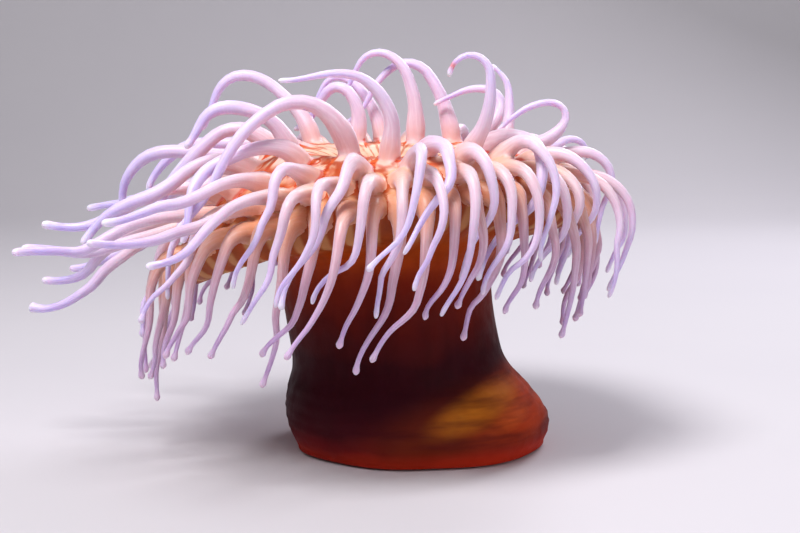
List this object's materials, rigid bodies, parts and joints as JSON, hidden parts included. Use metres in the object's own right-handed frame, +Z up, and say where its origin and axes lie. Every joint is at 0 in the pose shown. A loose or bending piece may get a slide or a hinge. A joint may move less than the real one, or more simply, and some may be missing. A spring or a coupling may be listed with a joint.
{
  "type": "sea anemone",
  "caption": "Open sea anemone on a broad foot: thick maroon column, domed oral disc drooping to one side, and rings of long pale lilac tentacles arching over and hanging from the rim.",
  "frame": {"origin": "centre of the pedal disc's flat underside", "axes": "+Z up through the column, +X along the widest spread of the crown (the disc hangs toward -X), -Y toward the viewer"},
  "size_m": [0.2709, 0.2536, 0.177],
  "materials": {
    "column_flesh": "smooth wet skin, dark maroon, warmer at the foot",
    "disc_flesh": "moist translucent skin, cream with scarlet lines",
    "lip_flesh": "moist skin, scarlet",
    "tentacle_flesh": "moist translucent skin, white to lilac",
    "tentacle_root_flesh": "moist translucent skin, pink"
  },
  "bodies": {
    "root": {"pedal_disc": "column_flesh", "column_lower": "column_flesh", "column_upper": "column_flesh", "oral_disc": "disc_flesh", "mouth_lips": "lip_flesh", "inner_tentacle_01_base": "tentacle_root_flesh", "inner_tentacle_01_tip": "tentacle_flesh", "inner_tentacle_02_base": "tentacle_root_flesh", "inner_tentacle_02_tip": "tentacle_flesh", "inner_tentacle_03_base": "tentacle_root_flesh", "inner_tentacle_03_tip": "tentacle_flesh", "inner_tentacle_04_base": "tentacle_root_flesh", "inner_tentacle_04_tip": "tentacle_flesh", "inner_tentacle_05_base": "tentacle_root_flesh", "inner_tentacle_05_tip": "tentacle_flesh", "inner_tentacle_06_base": "tentacle_root_flesh", "inner_tentacle_06_tip": "tentacle_flesh", "inner_tentacle_07_base": "tentacle_root_flesh", "inner_tentacle_07_tip": "tentacle_flesh", "inner_tentacle_08_base": "tentacle_root_flesh", "inner_tentacle_08_tip": "tentacle_flesh", "inner_tentacle_09_base": "tentacle_root_flesh", "inner_tentacle_09_tip": "tentacle_flesh", "inner_tentacle_10_base": "tentacle_root_flesh", "inner_tentacle_10_tip": "tentacle_flesh", "inner_tentacle_11_base": "tentacle_root_flesh", "inner_tentacle_11_tip": "tentacle_flesh", "inner_tentacle_12_base": "tentacle_root_flesh", "inner_tentacle_12_tip": "tentacle_flesh", "inner_tentacle_13_base": "tentacle_root_flesh", "inner_tentacle_13_tip": "tentacle_flesh", "inner_tentacle_14_base": "tentacle_root_flesh", "inner_tentacle_14_tip": "tentacle_flesh", "inner_tentacle_15_base": "tentacle_root_flesh", "inner_tentacle_15_tip": "tentacle_flesh", "inner_tentacle_16_base": "tentacle_root_flesh", "inner_tentacle_16_tip": "tentacle_flesh", "inner_tentacle_17_base": "tentacle_root_flesh", "inner_tentacle_17_tip": "tentacle_flesh", "inner_tentacle_18_base": "tentacle_root_flesh", "inner_tentacle_18_tip": "tentacle_flesh", "inner_tentacle_19_base": "tentacle_root_flesh", "inner_tentacle_19_tip": "tentacle_flesh", "inner_tentacle_20_base": "tentacle_root_flesh", "inner_tentacle_20_tip": "tentacle_flesh", "crown_sector_01": "tentacle_flesh", "crown_sector_02": "tentacle_flesh", "crown_sector_03": "tentacle_flesh", "crown_sector_04": "tentacle_flesh", "crown_sector_05": "tentacle_flesh", "crown_sector_06": "tentacle_flesh", "crown_sector_07": "tentacle_flesh", "crown_sector_08": "tentacle_flesh", "crown_sector_09": "tentacle_flesh", "crown_sector_10": "tentacle_flesh"}
  },
  "joints": []
}
